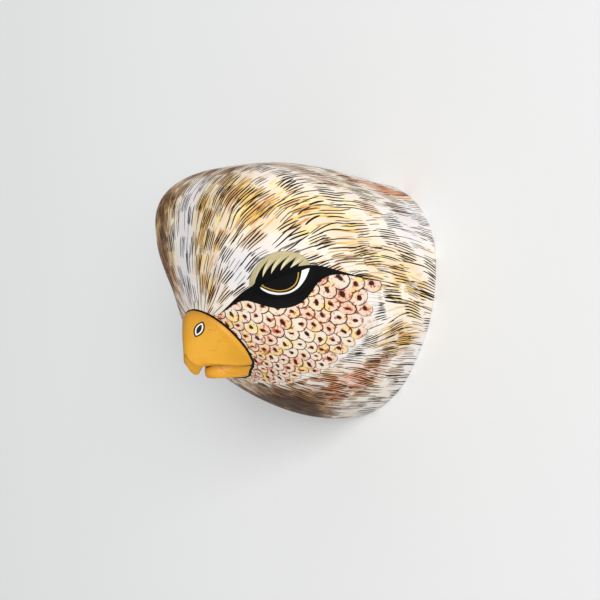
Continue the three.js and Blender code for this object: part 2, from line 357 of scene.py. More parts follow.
def gouge_marks(around, along):
    """Depth of the gouge's cuts in the hollow: rounded lanes that run from the middle
    to the rim, each cut starting a little deeper than the last one ended. A steep sine
    of the lane's number shifts the cuts of one lane against those of the next."""
    lane = around / (2 * np.pi) * GOUGE_LANES
    number = np.floor(lane)
    shift = np.mod(np.sin(number * 12.9) * 43.7, 1.0)
    across = 2 * (lane - number) - 1
    cut = np.mod(along * SPOKE_LENGTH / GOUGE_LENGTH + shift, 1.0)
    fade = np.clip(along / GOUGE_FADE_START, 0, 1) * np.clip((1 - along) / GOUGE_FADE_END, 0, 1)
    hollow = (1 - across * across) * GOUGE_ROUNDNESS
    return GOUGE_DEPTH * fade * (hollow + GOUGE_STEP * (1 - cut) - GOUGE_ROUNDNESS / 2)


def inner_surface(around, along):
    """The hollow: the bare head less the wall, measured square to the surface, and the
    gouge marks."""
    direction = spoke_direction(around, along)
    reach = bare_reach(direction) - WALL / np.maximum(squareness_to_ray(direction), LEAST_SQUARENESS)
    return MIDDLE + direction * (reach + gouge_marks(around, along))[..., None]


def spread(count, start, end, places):
    """Positions from start to end, drawn closer together round each (place, half
    width, strength): equal steps of the running total of a density."""
    x = np.linspace(start, end, 2001)
    density = 1 + sum(s * np.exp(-((x - p) / w) ** 4) for p, w, s in places)
    total = np.concatenate([[0], np.cumsum((density[1:] + density[:-1]) / 2)])
    return np.interp(np.linspace(0, total[-1], count), total, x)


def quarter_round(edge, inwards, rounding):
    """Rings of a quarter circle from the wall above the edge to the flat rim."""
    turns = np.linspace(0, np.pi / 2, ROUNDING_RINGS + 1)
    return [edge + inwards * rounding * (1 - math.cos(t))
            + np.array([0, 0, rounding * (1 - math.sin(t))]) for t in turns]


def rim_share(around, height):
    """Share along each spoke at which the head stands the height above the rim."""
    edge, turn = spoke_end(around)
    return 1 - np.arcsin(height * np.sin(turn) / (BEAK_ROOT[2] * bare_reach(edge))) / turn


def head_rings():
    """Rings of the head from the beak's root over the face, round the rim and back
    through the hollow."""
    eye, half_width = np.radians(FINER_AROUND[:2])
    finer = [(place, half_width, FINER_AROUND[2]) for place in (-eye, eye)]
    around = spread(SPOKES + 1, -np.pi, np.pi, finer)[:-1]
    shares = spread(OUTER_RINGS + 1, 0.0, 1.0, [FINER_ALONG])[1:]
    last = rim_share(around, RIM_ROUNDING)
    rings = [outer_surface(around, share * last) for share in shares]
    outer_edge = rings[-1] * [1, 1, 0]
    inner_edge = inner_surface(around, last) * [1, 1, 0]
    inwards = unit(inner_edge - outer_edge)
    rings += quarter_round(outer_edge, inwards, RIM_ROUNDING)[1:]
    face_rings = len(rings)
    rings += quarter_round(inner_edge, -inwards, RIM_ROUNDING)[::-1]
    inner_shares = np.linspace(1.0, 1 / INNER_RINGS, INNER_RINGS)[1:]
    rings += [inner_surface(around, share * last) for share in inner_shares]
    start = outer_surface(np.zeros(1), np.zeros(1))[0]
    end = inner_surface(np.zeros(1), np.zeros(1))[0]
    return start, np.array(rings), end, face_rings


def wedge(x):
    """Distance from the ridge line, rounded off near it."""
    return np.hypot(x, RIDGE_ROUNDING) - RIDGE_ROUNDING


def upper_flank(x, y):
    """The sides of the upper beak, falling back from the ridge."""
    return through(RIDGE, np.maximum(y, TIP_TOP)) - through(FLANK_SLOPE, y) * wedge(x)


def tip_facet(x, y):
    """The flatter facet on each side of the hooked tip."""
    return through(RIDGE, y) - through(TIP_FACET_SLOPE, y) * np.abs(x)


def upper_front(x, y):
    """Front of the upper beak: its flanks, cut by the facets of the tip."""
    flank = upper_flank(x, y)
    return np.where(y < TIP_TOP, np.minimum(flank, tip_facet(x, y)), flank)


def upper_back(x, y):
    """Back of the upper beak: inside the wall of the head, and brought forward behind
    the hook so that the mouth is open."""
    out = np.abs(x)
    hook = (np.clip((HOOK_TOP - y) / HOOK_TOP_STEP, 0, 1)
            * np.clip((HOOK_HALF_WIDTH - out) / HOOK_SIDE_STEP, 0, 1))
    base = UPPER_BACK_REACH + (y - UPPER_BACK_Y) * UPPER_BACK_LEAN - UPPER_BACK_SPLAY * out
    return base * (1 - hook) + (upper_front(x, y) - HOOK_THICKNESS) * hook


def lower_front(x, y):
    """Front of the lower beak: two sides that flatten towards the corners of the mouth
    and turn under towards the throat."""
    out = np.abs(x)
    side = (LOWER_BEAK_REACH + LOWER_BEAK_LEAN * (LOWER_BEAK_TOP - y)
            - LOWER_FLANK_SLOPE * wedge(np.minimum(out, CHEEK_X))
            - CHEEK_SLOPE * np.maximum(out - CHEEK_X, 0)
            - CHIN_BEND * np.clip(CHIN_TOP - y, 0, CHIN_HEIGHT) ** 2)
    lean = math.radians(UNDERCUT_LEAN)
    beyond = (out - UNDERCUT_FOOT[0]) * math.cos(lean) - (y - UNDERCUT_FOOT[1]) * math.sin(lean)
    set_in = np.clip((UNDERCUT_TOP - y) / UNDERCUT_TOP_STEP, 0, 1)
    return side - UNDERCUT_SLOPE * np.maximum(beyond, 0) * set_in


def lower_back(x, y):
    """Back of the lower beak, inside the wall: a plane, the same for every x."""
    return LOWER_BACK_REACH + LOWER_BACK_LEAN * (y - LOWER_BACK_Y)


def beak_rings(middle_y, outline, front, back, rounding):
    """Rings of a beak half between a back and a front surface, inside an outline given
    by angle and distance, with a quarter-round front edge."""
    angle = np.linspace(-np.pi / 2, 1.5 * np.pi, BEAK_SPOKES, endpoint=False)
    ray = np.stack([np.cos(angle), np.sin(angle)], -1)
    reach = through(outline, np.degrees(np.arctan2(ray[:, 1], np.abs(ray[:, 0]))))
    edge = np.array([0, middle_y]) + ray * reach[:, None]
    rings = [np.column_stack([edge, back(*edge.T)])]
    steps = np.linspace(0, 1, BEAK_RINGS, endpoint=False)
    for share in 1 - steps ** BEAK_RING_CROWDING:
        p = np.array([0, middle_y]) + ray * (reach * share)[:, None]
        near = np.clip(1 - reach * (1 - share) / rounding, 0, 1)
        drop = rounding * (1 - np.sqrt(1 - near * near))
        rings.append(np.column_stack([p, front(*p.T) - drop]))
    start = np.array([0, middle_y, back(0.0, middle_y)])
    end = np.array([0, middle_y, front(0.0, middle_y)])
    return start, np.array(rings), end


def add_skin(name, start, rings, end, materials, choose):
    """A closed mesh through rings of equal length with a point at each end. The function
    choose gives the material number of each ring's faces."""
    ring_count, count = rings.shape[:2]
    points = np.vstack([start, rings.reshape(-1, 3), end]) * MM
    k = np.arange(count)
    after = (k + 1) % count
    first = np.column_stack([0 * k, 1 + after, 1 + k])
    r = np.arange(ring_count - 1)[:, None] * count + 1
    quads = np.stack([r + k, r + after, r + count + after, r + count + k], -1).reshape(-1, 4)
    base = (ring_count - 1) * count + 1
    last = np.column_stack([base + k, base + after, 0 * k + len(points) - 1])
    mesh = bpy.data.meshes.new(name)
    mesh.from_pydata(points.tolist(), [], first.tolist() + quads.tolist() + last.tolist())
    number = np.concatenate([np.full(count, choose(0)),
                             np.repeat([choose(i) for i in range(ring_count - 1)], count),
                             np.full(count, choose(ring_count - 1))])
    for material in materials:
        mesh.materials.append(material)
    mesh.polygons.foreach_set("material_index", number.astype(np.int32))
    piece = bpy.data.objects.new(name, mesh)
    bpy.context.scene.collection.objects.link(piece)
    return piece


# Numbers of the four finishes on the mask
FACE, UPPER, LOWER, WOOD = range(4)


def carve(materials):
    """The head and both halves of the beak, joined into one carved piece."""
    start, rings, end, face_rings = head_rings()
    head = add_skin("carved_owl_mask", start, rings, end, materials,
                    lambda ring: FACE if ring < face_rings - 1 else WOOD)
    halves = [
        add_skin("upper_beak", *beak_rings(UPPER_BEAK_Y, UPPER_BEAK_OUTLINE, upper_front,
                                           upper_back, UPPER_EDGE_ROUNDING),
                 materials, lambda ring: UPPER),
        add_skin("lower_beak", *beak_rings(LOWER_BEAK_Y, LOWER_BEAK_OUTLINE, lower_front,
                                           lower_back, LOWER_EDGE_ROUNDING),
                 materials, lambda ring: LOWER)]
    for half in halves:
        union = head.modifiers.new("join", "BOOLEAN")
        union.operation = "UNION"
        union.solver = "EXACT"
        union.material_mode = "INDEX"
        union.object = half
    graph = bpy.context.evaluated_depsgraph_get()
    joined = bpy.data.meshes.new_from_object(head.evaluated_get(graph))
    head.modifiers.clear()
    head.data = joined
    for half in halves:
        bpy.data.objects.remove(half)
    joined.shade_smooth()
    joined.set_sharp_from_angle(angle=math.radians(CREASE_ANGLE))
    return head


# Places of the paint, worked out at every vertex

def read(items, name, width, kind=np.float32):
    """A whole column of a mesh's data as one array."""
    values = np.empty(len(items) * width, kind)
    items.foreach_get(name, values)
    return values.reshape(-1, width) if width > 1 else values


def inside(points, corners):
    """Signed distance to a closed outline, positive inside: the least distance to its
    edges, with the sign from counting crossings of a ray."""
    best = np.full(len(points), np.inf)
    odd = np.zeros(len(points), bool)
    for a, b in zip(corners, np.roll(corners, -1, axis=0)):
        edge = b - a
        rel = points - a
        t = np.clip(rel @ edge / max(edge @ edge, 1e-12), 0, 1)
        best = np.minimum(best, np.linalg.norm(rel - t[:, None] * edge, axis=1))
        crosses = (a[1] > points[:, 1]) != (b[1] > points[:, 1])
        if abs(edge[1]) > 1e-12:
            odd ^= crosses & (points[:, 0] < a[0] + edge[0] * (points[:, 1] - a[1]) / edge[1])
    return np.where(odd, best, -best)


def between(low, high, steps=60):
    """Outline between two curves over the same stretch: along the low one and back
    along the high one."""
    def walk(curve):
        """Points along a curve, at even steps outwards."""
        x = np.linspace(curve[0][0], curve[-1][0], steps)
        return np.column_stack([x, through(curve, x)])
    return np.vstack([walk(low), walk(high)[::-1]])


def flow_places(direction):
    """Angle round from the crown, and distance in millimetres over the face from the
    beak's root, for directions from the middle. The distance is read off a grid of
    running totals along the spokes."""
    edge = unit((direction - direction[:, 2:] / BEAK_ROOT[2] * BEAK_ROOT) + [0, 1e-12, 0])
    around = np.arctan2(edge[:, 0], edge[:, 1])
    turn = np.arccos(np.clip(edge @ BEAK_ROOT, -1, 1))
    along = np.arccos(np.clip(direction @ BEAK_ROOT, -1, 1)) / turn
    rows, columns = 241, 361
    grid_around, grid_along = np.meshgrid(np.linspace(-np.pi, np.pi, columns),
                                          np.linspace(0, 1, rows), indexing="ij")
    points = outer_surface(grid_around, grid_along)
    steps = np.linalg.norm(np.diff(points, axis=1), axis=-1)
    out = np.concatenate([np.zeros((columns, 1)), np.cumsum(steps, axis=1)], axis=1)
    x = (around + np.pi) / (2 * np.pi) * (columns - 1)
    y = np.clip(along, 0, 1) * (rows - 1)
    i, j = np.clip(x.astype(int), 0, columns - 2), np.clip(y.astype(int), 0, rows - 2)
    u, v = x - i, y - j
    distance = ((1 - u) * (1 - v) * out[i, j] + u * (1 - v) * out[i + 1, j]
                + (1 - u) * v * out[i, j + 1] + u * v * out[i + 1, j + 1])
    return around, distance


def put_number(mesh, name, values):
    """One number at every vertex."""
    layer = mesh.attributes.new(name, "FLOAT", "POINT")
    layer.data.foreach_set("value", values.astype(np.float32))


def put_map(mesh, name, values):
    """A pair of numbers at every corner, as a map that materials read."""
    layer = mesh.uv_layers.new(name=name, do_init=False)
    layer.data.foreach_set("uv", values.astype(np.float32).ravel())


def lash_places(sheet):
    """Lash number across the lid, and height as a share of the lash's length: each
    lash curves from its foot to its tip, and the numbers run evenly between them."""
    feet = np.array([foot for foot, _ in LASHES])
    tips = np.array([tip for _, tip in LASHES])
    height = sheet[:, 1] - through(LASH_LINE, sheet[:, 0])
    foot_height = feet[:, 1] - through(LASH_LINE, feet[:, 0])
    tip_height = tips[:, 1] - through(LASH_LINE, tips[:, 0])
    share = (height[:, None] - foot_height) / (tip_height - foot_height)
    bow = LASH_BOW * np.clip(share, 0, 1) * (1 - np.clip(share, 0, 1))
    axis = feet[:, 0] + (tips - feet)[:, 0] * (share - bow)
    number = np.zeros(len(sheet))
    for k in range(len(LASHES) - 1):
        t = (sheet[:, 0] - axis[:, k]) / np.maximum(axis[:, k + 1] - axis[:, k], 0.5)
        number = np.where(t >= 0, k + np.minimum(t, 1), number)
    before = (sheet[:, 0] - axis[:, 0]) / LASH_SPACING
    after = (sheet[:, 0] - axis[:, -1]) / LASH_SPACING
    number = np.where(before < 0, before, number)
    number = np.where(after > 0, len(LASHES) - 1 + after, number)
    foot = np.interp(number, np.arange(len(LASHES)), foot_height)
    tip = np.interp(number, np.arange(len(LASHES)), tip_height)
    return np.column_stack([number, (height - foot) / (tip - foot)]), height


def patches(places, side, up, right):
    """Sum of soft patches: each falls off as a bell curve to the side and up from its
    middle, and has one strength on the bird's left and another on its right."""
    total = np.zeros(len(side))
    for middle_side, middle_up, spread_side, spread_up, on_left, on_right in places:
        bell = np.exp(-((side - middle_side) / spread_side) ** 2
                      - ((up - middle_up) / spread_up) ** 2)
        total += np.where(right, on_right, on_left) * bell
    return total


def nearest_line(points, ends_a, ends_b):
    """Least distance from each point to a set of short straight edges, worked out for
    some thousands of points at a time."""
    best = np.empty(len(points))
    edge = ends_b - ends_a
    lengths = np.maximum((edge * edge).sum(-1), 1e-12)
    batch = 4000
    for start in range(0, len(points), batch):
        rel = points[start:start + batch, None] - ends_a
        t = np.clip((rel * edge).sum(-1) / lengths, 0, 1)
        best[start:start + batch] = np.linalg.norm(rel - t[..., None] * edge, axis=-1).min(1)
    return best


def seams_between(mesh, points, first, second):
    """Distance of each vertex to the line where two sets of finishes meet."""
    totals = read(mesh.polygons, "loop_total", 1, np.int32)
    edges = read(mesh.loops, "edge_index", 1, np.int32)
    finish = np.repeat(read(mesh.polygons, "material_index", 1, np.int32), totals)
    marks = np.zeros((len(mesh.edges), 2), bool)
    marks[edges[np.isin(finish, first)], 0] = True
    marks[edges[np.isin(finish, second)], 1] = True
    ends = read(mesh.edges, "vertices", 2, np.int32)[marks.all(1)]
    a, b = points[ends[:, 0]], points[ends[:, 1]]
    low = np.minimum(a, b).min(0) - BEAK_LINE_REACH
    high = np.maximum(a, b).max(0) + BEAK_LINE_REACH
    near = ((points > low) & (points < high)).all(1)
    distance = np.full(len(points), BEAK_LINE_REACH)
    distance[near] = np.minimum(nearest_line(points[near], a, b), BEAK_LINE_REACH)
    return distance


def scale_places(around, distance):
    """Column, row, and rows past the last one, on the lattice of scales. The angle and
    the logarithm of the distance from the fan's origin make a square lattice whose
    squares grow with the distance, and it is turned so that the rows lean."""
    turn = np.abs(around)
    flat = np.stack([distance * np.sin(turn), distance * np.cos(turn)], -1) - SCALE_ORIGIN
    reach = np.log(np.hypot(*flat.T))
    angle = np.arctan2(flat[:, 1], flat[:, 0]) * SCALE_NARROWING
    lean = math.radians(SCALE_LEAN)
    column = (reach * math.cos(lean) - angle * math.sin(lean)) / SCALE_SIZE
    row = -(reach * math.sin(lean) + angle * math.cos(lean)) / (SCALE_SIZE * SCALE_ROW)
    last = np.min([height + slope * (column - place) for place, height, slope in SCALE_ENDS], axis=0)
    return np.column_stack([column, row]), row - last


def lay_out_colours(mesh, side, up, right):
    """Stores how much gold, brown, grey and rust each vertex has. Part of the brown and rust is painted
    shade: under the throat, and on the bird's right, which is turned from the lamp.
    """
    amounts = [patches(places, side, up, right)
               for places in (GOLD_PATCHES, BROWN_AND_SHADE_PATCHES, GREY_PATCHES, RUST_AND_SHADE_PATCHES)]
    colours = np.clip(np.column_stack(amounts), 0, STRONGEST)
    layer = mesh.attributes.new("zones", "FLOAT_COLOR", "POINT")
    layer.data.foreach_set("color", colours.astype(np.float32).ravel())


def lay_out_beak_lines(mesh, points):
    """Stores the distances to the line round the beak, to the line between its halves
    and to the crease over the tip's facets."""
    put_number(mesh, "beak_line", seams_between(mesh, points, [FACE], [UPPER, LOWER]))
    put_number(mesh, "mouth_line", seams_between(mesh, points, [UPPER], [LOWER]))
    x, y = points[:, 0], points[:, 1]
    crease = upper_flank(x, y) - tip_facet(x, y)
    put_number(mesh, "tip_crease", np.where(y < TIP_TOP, crease, FAR_OUTSIDE))


def lay_out_strokes(mesh, corner, direction, swing):
    """Stores the places along and across the lines of strokes and scales. A face that
    crosses the throat's middle line gets turns past one on its far corners, so that
    the strokes run on over it."""
    around, distance = flow_places(direction)
    starts = read(mesh.polygons, "loop_start", 1, np.int32)
    totals = read(mesh.polygons, "loop_total", 1, np.int32)
    sweep = STROKE_SWEEP * np.sin(np.clip(np.abs(around) * 1.5 - np.pi / 2, 0, np.pi)) ** 2
    turn = ((around - np.sign(around) * sweep * distance) / (2 * np.pi) + 0.5)[corner]
    crosses = np.maximum.reduceat(turn, starts) - np.minimum.reduceat(turn, starts) > 0.5
    turn += np.repeat(crosses, totals) & (turn < 0.5)
    put_map(mesh, "flow", np.column_stack([turn, distance[corner]]))
    put_number(mesh, "swing", np.sign(around) * swing)
    scales, past_scales = scale_places(around, distance)
    put_map(mesh, "scales", scales[corner])
    put_number(mesh, "past_scales", past_scales)


def lay_out_eye(mesh, corner, sheet, front):
    """Stores the distances inside the marks round the eye, the heights over the band's
    middle and over the lash line, and the places of the lashes."""
    low, high = EYE_PAINT
    near = ((sheet > low) & (sheet < high)).all(1) & front
    marks = {"band": between(BAND_BOTTOM, BAND_TOP, steps=120), "lid": between(LASH_LINE, LID_TOP),
             "white": between(WHITE_BELOW, WHITE_ABOVE), "iris": between(IRIS_BELOW, IRIS_ABOVE)}
    for name, outline in marks.items():
        values = np.full(len(sheet), FAR_OUTSIDE)
        values[near] = inside(sheet[near], outline)
        put_number(mesh, name, values)
    above = through(BAND_TOP, sheet[:, 0])
    below = through(BAND_BOTTOM, sheet[:, 0])
    put_number(mesh, "band_height", sheet[:, 1] - (above + below) / 2)
    put_number(mesh, "band_half", np.maximum((above - below) / 2, 0))
    lashes, lid_height = lash_places(sheet)
    put_map(mesh, "lashes", lashes[corner])
    put_map(mesh, "sheet", sheet[corner])
    put_number(mesh, "lid_height", lid_height)


def lay_out_paint(piece):
    """Works out where every painted mark lies and stores it on the mesh."""
    mesh = piece.data
    points = read(mesh.vertices, "co", 3).astype(float) / MM
    corner = read(mesh.loops, "vertex_index", 1, np.int32)
    direction = unit(points - MIDDLE)
    side, up, _ = head_angles(direction)
    right = points[:, 0] < 0
    lay_out_colours(mesh, side, up, right)
    lay_out_beak_lines(mesh, points)
    lay_out_strokes(mesh, corner, direction, patches(SWING_PATCHES, side, up, right))
    sheet = np.column_stack([side - SHEET_SIDE, up - SHEET_UP]) * SHEET
    lay_out_eye(mesh, corner, sheet, points[:, 2] > EYE_PAINT_Z)


# Paint, as shader nodes. A noise's scale is its number of waves in a metre

def pigment(code):
    """A colour code such as E5A93B as linear light."""
    parts = [int(code[i:i + 2], 16) / 255 for i in (0, 2, 4)]
    return tuple(c / 12.92 if c <= 0.04045 else ((c + 0.055) / 1.055) ** 2.4 for c in parts) + (1.0,)


INK = pigment("14100E")             # the line round the beak, and the nostrils

# Ground of the face, and the washes laid on it
CHALK = pigment("E6E2DD")
CREAM = pigment("E8DFCE")
SHELL = pigment("E5D4CA")
COOL_GREY = pigment("DBD8DA")
STRAW = pigment("E8DAB4")
PLAIN_CHALK = pigment("E6DFD8")
GOLD_WASH = pigment("E2B64C")
AMBER_WASH = pigment("D09036")
BROWN_WASH = pigment("AC7844")
RUST_WASH = pigment("C98249")
# brown paint deepened with painted shade, under the throat
DEEP_BROWN_AND_SHADE = pigment("4C3019")

# Strokes of the brush
TAN = pigment("C2924A")
BROWN = pigment("8E6232")
DARK_BROWN = pigment("543618")
RUST = pigment("B45C26")
LEMON = pigment("EBD98A")
GOLD = pigment("E6BE50")
AMBER = pigment("C08434")
BLACK = pigment("050302")
WARM_BLACK = pigment("140B06")
SOFT_BLACK = pigment("454141")
RUSTY_BLACK = pigment("381E0A")

# Scales
SCALE_CREAM = pigment("E3D5C2")
SCALE_PINK = pigment("E3C7AF")
SCALE_YELLOW = pigment("E8C964")
SCALE_STAIN = pigment("CF7C46")
SCALE_RED = pigment("B03A1A")
SCALE_LINE = pigment("150C09")
SCALE_DOT = pigment("240C08")

# The eye
OLIVE = pigment("ABA077")
PALE_OLIVE = pigment("BCB087")
# painted shade in the crease round the lid's dome
LID_CREASE_SHADE = pigment("7F7148")
PETAL = pigment("E3D3B4")
BAND_BLACK = pigment("050404")
EYE_WHITE = pigment("EDEBE6")
IRIS = pigment("0B0A0C")
EYE_RING = pigment("C49A3C")

# The beak
OCHRE = pigment("CD8F24")
PALE_OCHRE = pigment("D89D2C")
BURNT_OCHRE = pigment("AC6E1C")
ORANGE_OCHRE = pigment("DE9A24")
CRACK = pigment("7A4A14")
CREASE = pigment("8A5A1C")
MOUTH = pigment("5A2410")
NOSTRIL_RING = pigment("EFE9DF")

# The wood
WOOD_BAND = pigment("B98E5E")
PALE_WOOD = pigment("D3AE7E")
WOOD_THREAD = pigment("8F6438")
GRAIN_BANDS = (60.0, 4.0, 60.0)     # waves in a metre along x, y and z
GRAIN_THREADS = (420.0, 12.0, 420.0)


class Number:
    """A number at each point of the surface, made by shader nodes, with the usual
    arithmetic."""

    def __init__(self, tree, socket):
        self.tree = tree
        self.socket = socket

    def __add__(self, other):
        return calculate(self.tree, "ADD", self, other)

    __radd__ = __add__

    def __sub__(self, other):
        return calculate(self.tree, "SUBTRACT", self, other)

    def __rsub__(self, other):
        return calculate(self.tree, "SUBTRACT", other, self)

    def __mul__(self, other):
        return calculate(self.tree, "MULTIPLY", self, other)

    __rmul__ = __mul__

    def __truediv__(self, other):
        return calculate(self.tree, "DIVIDE", self, other)


def connect(tree, value, socket):
    """Puts a number, a colour or a node's output on a socket."""
    if isinstance(value, Number):
        value = value.socket
    if isinstance(value, bpy.types.NodeSocket):
        tree.links.new(value, socket)
    else:
        socket.default_value = value


def calculate(tree, operation, *values):
    """One step of arithmetic."""
    node = tree.nodes.new("ShaderNodeMath")
    node.operation = operation
    for value, socket in zip(values, node.inputs):
        connect(tree, value, socket)
    return Number(tree, node.outputs[0])


def floor(n):
    """The whole number at or below n."""
    return calculate(n.tree, "FLOOR", n)


def part_of(n):
    """What n has over that whole number."""
    return calculate(n.tree, "FRACT", n)


def size_of(n):
    """The number without its sign."""
    return calculate(n.tree, "ABSOLUTE", n)


def nearest(n):
    """The nearest whole number."""
    return calculate(n.tree, "ROUND", n)


def root(n):
    """The square root."""
    return calculate(n.tree, "SQRT", n)


def larger(a, b):
    """The larger of two numbers, at each point."""
    return calculate(a.tree, "MAXIMUM", a, b)


def smaller(a, b):
    """The smaller of two numbers, at each point."""
    return calculate(a.tree, "MINIMUM", a, b)


def rising(n, low, high):
    """0 below low, 1 above high and smooth between them."""
    node = n.tree.nodes.new("ShaderNodeMapRange")
    node.interpolation_type = "SMOOTHSTEP"
    for value, socket in zip((n, low, high), node.inputs):
        connect(n.tree, value, socket)
    return Number(n.tree, node.outputs[0])


def falling(n, low, high):
    """1 below low, 0 above high and smooth between them."""
    return 1.0 - rising(n, low, high)


def number_map(tree, name):
    """A number stored at the vertices."""
    node = tree.nodes.new("ShaderNodeAttribute")
    node.attribute_name = name
    return Number(tree, node.outputs["Fac"])


def split(tree, socket):
    """The three parts of a vector or colour."""
    node = tree.nodes.new("ShaderNodeSeparateXYZ")
    tree.links.new(socket, node.inputs[0])
    return [Number(tree, output) for output in node.outputs]


def place_map(tree, name):
    """The two parts of one of the mesh's maps."""
    node = tree.nodes.new("ShaderNodeUVMap")
    node.uv_map = name
    return split(tree, node.outputs[0])[:2]


def chance(tree, x, y, seed):
    """Three random numbers for a cell."""
    cell = tree.nodes.new("ShaderNodeCombineXYZ")
    for value, socket in zip((x, y, seed), cell.inputs):
        connect(tree, value, socket)
    node = tree.nodes.new("ShaderNodeTexWhiteNoise")
    tree.links.new(cell.outputs[0], node.inputs["Vector"])
    return split(tree, node.outputs["Color"])


def add_noise(tree, place, scale, detail, roughness):
    """A node that makes cloudy noise."""
    node = tree.nodes.new("ShaderNodeTexNoise")
    tree.links.new(place, node.inputs["Vector"])
    node.inputs["Scale"].default_value = scale
    node.inputs["Detail"].default_value = detail
    node.inputs["Roughness"].default_value = roughness
    return node


def noise(tree, place, scale, detail=2.0, roughness=0.5):
    """Cloudy noise from 0 to 1."""
    return Number(tree, add_noise(tree, place, scale, detail, roughness).outputs["Fac"])


def wander(tree, place, scale, detail):
    """Three cloudy numbers from -0.5 to 0.5, to lead lines astray."""
    node = add_noise(tree, place, scale, detail, 0.5)
    return [part - 0.5 for part in split(tree, node.outputs["Color"])]


def blend(tree, amount, under, over):
    """Lays one colour over another."""
    node = tree.nodes.new("ShaderNodeMix")
    node.data_type = "RGBA"
    node.clamp_factor = True
    connect(tree, amount, node.inputs[0])
    connect(tree, under, node.inputs[6])
    connect(tree, over, node.inputs[7])
    return node.outputs[2]


def object_place(tree, stretch=(1.0, 1.0, 1.0)):
    """Object coordinates, stretched."""
    coordinates = tree.nodes.new("ShaderNodeTexCoord")
    mapping = tree.nodes.new("ShaderNodeMapping")
    tree.links.new(coordinates.outputs["Object"], mapping.inputs["Vector"])
    mapping.inputs["Scale"].default_value = stretch
    return mapping.outputs[0]


def start_material(name, roughness, shine=0.5):
    """A material with nothing painted on it yet."""
    material = bpy.data.materials.new(name)
    material.use_nodes = True
    shader = material.node_tree.nodes["Principled BSDF"]
    shader.inputs["Roughness"].default_value = roughness
    shader.inputs["Specular IOR Level"].default_value = shine
    return material, material.node_tree, shader


def add_bump(tree, shader, height, depth):
    """Fine relief from a height of 0 to 1, for a depth in millimetres."""
    node = tree.nodes.new("ShaderNodeBump")
    node.inputs["Distance"].default_value = depth * MM
    connect(tree, height, node.inputs["Height"])
    tree.links.new(node.outputs[0], shader.inputs["Normal"])


class Strokes:
    """One layer of brush strokes that run out from the beak. The face is divided into
    strips that widen from the beak to the rim, and each strip into patches as long as
    the strokes, which stand side by side in them, further apart below the cheek. Dark
    and light patches take turns, and each strip is shifted at random, so that the
    patches lie like bricks. dark and light are the shares of strokes that are painted
    in the two kinds of patches, and ragged is how unevenly a patch's strokes end."""

    BELOW_CHEEK = (0.29, 0.37)      # the cheek ends between these, in turns from the crown
    WIDER_BELOW = (0.6, 0.55)       # how much gaps and strokes grow below it
    NARROWEST_STRIP = 1.5
    LEAN = 0.25                     # how much the lean changes from patch to patch
    MIXING = 0.9                    # how freely dark and light patches change places
    HALF_LENGTH = (0.39, 0.13)      # the least, and how much it may grow, as shares of a patch
    WIDTH = (0.75, 0.45)            # the same for the width, as shares of the width given
    ASIDE = 0.3                     # how far a stroke stands aside, as a share of the spacing
    MOST_ABREAST = 16.0             # no strip has more strokes side by side

    def __init__(self, tree, flow, seed, strips, length, spacing, width, dark, light, ragged=0.1):
        turn, out, swing = flow
        strip_place = turn * float(strips)
        strip = floor(strip_place)
        shift = chance(tree, strip, 0.5, seed)[0]
        row_place = out / length + shift
        row = floor(row_place)
        middle = (row - shift + 0.5) * length
        bend = smaller(middle * (0.5 * math.pi / GIRTH_REACH), 0.5 * math.pi)
        strip_width = larger(calculate(tree, "SINE", bend) * (GIRTH / strips), self.NARROWEST_STRIP)
        below = rising(size_of((strip + 0.5) / float(strips) - 0.5), *self.BELOW_CHEEK)
        apart = spacing * (1.0 + self.WIDER_BELOW[0] * below)
        count = larger(nearest(strip_width / apart), 1.0)
        self.patch = chance(tree, strip, row, seed + 0.5)
        self.along = part_of(row_place) - 0.5
        tilt = swing + self.LEAN * (self.patch[0] - 0.5)
        column_place = part_of(strip_place) * count - tilt * self.along * length / apart
        self.own = chance(tree, strip * self.MOST_ABREAST + floor(column_place), row, seed)
        checker = part_of((strip + row) * 0.5) * 2.0
        self.dark = rising(checker + self.MIXING * (self.patch[1] - 0.5), 0.35, 0.65)
        least, growth = self.HALF_LENGTH
        reach = (self.along - ragged * (self.own[0] - 0.5)) / (least + growth * self.own[1])
        aside = part_of(column_place) - 0.5 + self.ASIDE * (self.own[1] - 0.5)
        square = reach * reach
        least, growth = self.WIDTH
        body = width * (least + growth * self.own[2] + self.WIDER_BELOW[1] * below)
        body = body * (1.0 - square * square * square)
        stroke = rising(body - size_of(aside) * (strip_width / count), -0.1, 0.12)
        luck = part_of(self.own[0] * 7.31)      # as good as a fourth random number
        self.paint = stroke * rising(light + (dark - light) * self.dark - luck, 0.0, 0.02)


def feather_ground(tree, zones, hatch):
    """Off-whites that change from patch to patch, with washes of gold, brown and rust. Where the brown
    stands for painted shade, under the throat and on the bird's right, these washes and the deep brown are
    painted shade as well.
    """
    gold, brown, grey, rust = zones
    paper = blend(tree, hatch.patch[0], CHALK, CREAM)
    paper = blend(tree, hatch.patch[2] * 0.6, paper, SHELL)
    paper = blend(tree, rising(grey, 0.1, 0.9) * 0.8, paper, COOL_GREY)
    paper = blend(tree, rising(gold, 0.1, 0.8) * 0.35, paper, STRAW)
    wash = blend(tree, hatch.patch[1], GOLD_WASH, AMBER_WASH)
    wash = blend(tree, rising(brown, 0.2, 1.0), wash, BROWN_WASH)
    wash = blend(tree, rising(rust + 0.5 * (hatch.patch[2] - 0.5), 0.3, 1.0), wash, RUST_WASH)
    tinted = larger(larger(gold, brown), rust)
    soft = rising(tinted + 0.6 * (hatch.patch[1] - 0.5), 0.15, 1.0) * (0.35 + 0.65 * hatch.dark)
    soft = soft * (1.0 - hatch.along * hatch.along * 1.6)
    solid = rising(larger(brown, rust), 0.7, 1.4) * 0.75
    colour = blend(tree, larger(soft * 0.85, solid), paper, wash)
    # Deep brown where the brown is strongest, under the throat: partly brown paint, partly painted shade
    return blend(tree, rising(brown, 1.0, 2.0) * 0.9, colour, DEEP_BROWN_AND_SHADE)


